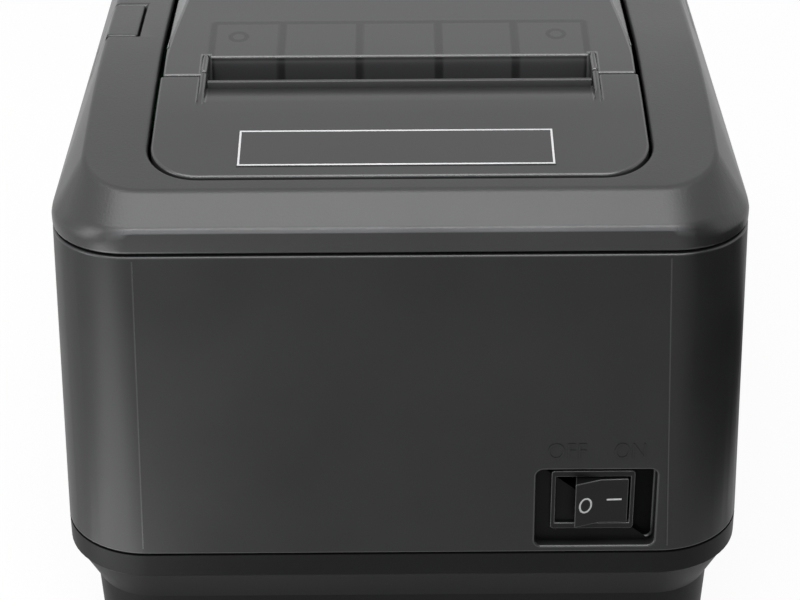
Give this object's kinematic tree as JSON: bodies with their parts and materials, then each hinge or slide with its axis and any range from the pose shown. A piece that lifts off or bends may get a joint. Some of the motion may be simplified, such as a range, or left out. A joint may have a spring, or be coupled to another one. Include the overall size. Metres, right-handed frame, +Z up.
{
  "type": "receipt printer",
  "caption": "Black counter-top receipt printer with a hinged paper lid, auto cutter under a lift-off cover, front rocker switch and rear sockets.",
  "frame": {"origin": "centre of the footprint, on the surface that the rubber feet stand on", "axes": "+Z up, -Y towards the front with the switch, +X to the right seen from the front"},
  "size_m": [0.1494, 0.1954, 0.1366],
  "materials": {
    "base_plastic": "fine satin texture, near black",
    "housing_plastic": "fine satin texture, charcoal black",
    "rim_plastic": "satin texture, charcoal",
    "cover_plastic": "satin, charcoal",
    "lid_plastic": "polished, smoky charcoal",
    "frame_plastic": "matt moulded black",
    "switch_plastic": "satin black",
    "steel": "plated sheet",
    "blade_steel": "ground",
    "heatsink": "plain extrusion",
    "gear_plastic": "natural acetal",
    "rubber": "matt",
    "board": "green solder mask",
    "ceramic": "glazed head substrate",
    "light_pipe": "clear, slightly frosted",
    "label_film": "printed film, blank"
  },
  "bodies": {
    "case": {"base_case": "base_plastic", "bottom_cover": "base_plastic", "rubber_feet": "rubber", "case_screws": "steel", "main_housing": "housing_plastic", "top_rim": "rim_plastic", "paper_well": "frame_plastic", "mech_plate_left": "steel", "mech_plate_right": "steel", "mech_crossbar": "steel", "print_head": "ceramic", "head_heatsink": "heatsink", "head_springs": "steel", "feed_motor": "steel", "gear_studs": "steel", "paper_guide": "frame_plastic", "paper_sensor": "switch_plastic", "cutter_frame": "steel", "cutter_motor": "steel", "rear_panel": "base_plastic", "power_socket": "switch_plastic", "usb_socket": "steel", "lan_socket": "steel", "drawer_socket": "switch_plastic", "main_board": "board", "light_pipes": "light_pipe", "button_board": "board", "switch_body": "switch_plastic", "hinge_pins": "steel", "feed_button_spring": "steel", "release_spring": "steel"},
    "lid": {"lid_cover": "lid_plastic", "lid_frame": "frame_plastic", "slot_guide": "frame_plastic", "lid_screws": "steel", "fixed_blade": "blade_steel", "platen_bushes": "gear_plastic"},
    "platen": {"platen_shaft": "steel", "platen_rubber": "rubber", "platen_gear": "gear_plastic"},
    "reduction_gear": {"reduction_gear": "gear_plastic"},
    "motor_pinion": {"motor_pinion": "gear_plastic"},
    "cutter_drive": {"cutter_shaft": "steel", "rack_pinions": "gear_plastic", "thumb_gear": "gear_plastic"},
    "cutter_motor_pinion": {"cutter_motor_pinion": "gear_plastic"},
    "cutter_blade": {"cutter_blade": "blade_steel"},
    "cutter_cover": {"cutter_cover": "cover_plastic", "cover_label": "label_film"},
    "rocker": {"rocker": "switch_plastic"},
    "feed_button": {"feed_button": "rim_plastic"},
    "release_button": {"release_button": "rim_plastic"},
    "latch": {"latch_lever": "steel"}
  },
  "joints": [
    {"name": "lid_hinge", "type": "hinge", "parent": "case", "child": "lid", "pos_m": [0, 0.08, 0.12859], "axis": [-1, 0, 0], "range_deg": [0, 95]},
    {"name": "platen_spin", "type": "hinge", "parent": "lid", "child": "platen", "pos_m": [0, -0.0361, 0.0975], "axis": [1, 0, 0], "continuous": true},
    {"name": "reduction_spin", "type": "hinge", "parent": "case", "child": "reduction_gear", "pos_m": [0, -0.04428, 0.08664], "axis": [1, 0, 0], "continuous": true},
    {"name": "motor_spin", "type": "hinge", "parent": "case", "child": "motor_pinion", "pos_m": [0, -0.06161, 0.07664], "axis": [1, 0, 0], "continuous": true},
    {"name": "cutter_turn", "type": "hinge", "parent": "case", "child": "cutter_drive", "pos_m": [0, -0.0741, 0.1153], "axis": [1, 0, 0], "range_deg": [0, 84]},
    {"name": "blade_slide", "type": "slide", "parent": "case", "child": "cutter_blade", "axis": [0, 1, 0], "range_m": [0, 0.0068]},
    {"name": "cutter_motor_turn", "type": "hinge", "parent": "case", "child": "cutter_motor_pinion", "pos_m": [0, -0.08113, 0.1075], "axis": [1, 0, 0], "range_deg": [-96, 0]},
    {"name": "cover_lift", "type": "slide", "parent": "case", "child": "cutter_cover", "axis": [0, 0, 1], "range_m": [0, 0.03]},
    {"name": "power_rocker", "type": "hinge", "parent": "case", "child": "rocker", "pos_m": [0.041, -0.08762, 0.0506], "axis": [0, 0, 1], "range_deg": [-22, 0]},
    {"name": "feed_press", "type": "slide", "parent": "case", "child": "feed_button", "axis": [0, 0, -1], "range_m": [0, 0.0012], "stiffness_N_per_m": 800, "springref_m": -0.0004, "deforming": ["feed_button_spring"]},
    {"name": "release_press", "type": "slide", "parent": "case", "child": "release_button", "axis": [0, 0, -1], "range_m": [0, 0.0024], "stiffness_N_per_m": 900, "springref_m": -0.0006, "deforming": ["release_spring"]},
    {"name": "latch_turn", "type": "hinge", "parent": "case", "child": "latch", "pos_m": [0, -0.0181, 0.0905], "axis": [1, 0, 0], "range_deg": [-8, 0]}
  ],
  "couplings": [
    {"joint": "reduction_spin", "follows": "platen_spin", "ratio": -1.125},
    {"joint": "motor_spin", "follows": "platen_spin", "ratio": 2.8929},
    {"joint": "cutter_turn", "follows": "blade_slide", "rad_per_m": 204.08},
    {"joint": "cutter_motor_turn", "follows": "blade_slide", "rad_per_m": -233.24},
    {"joint": "latch_turn", "follows": "release_press", "rad_per_m": -54.054}
  ]
}
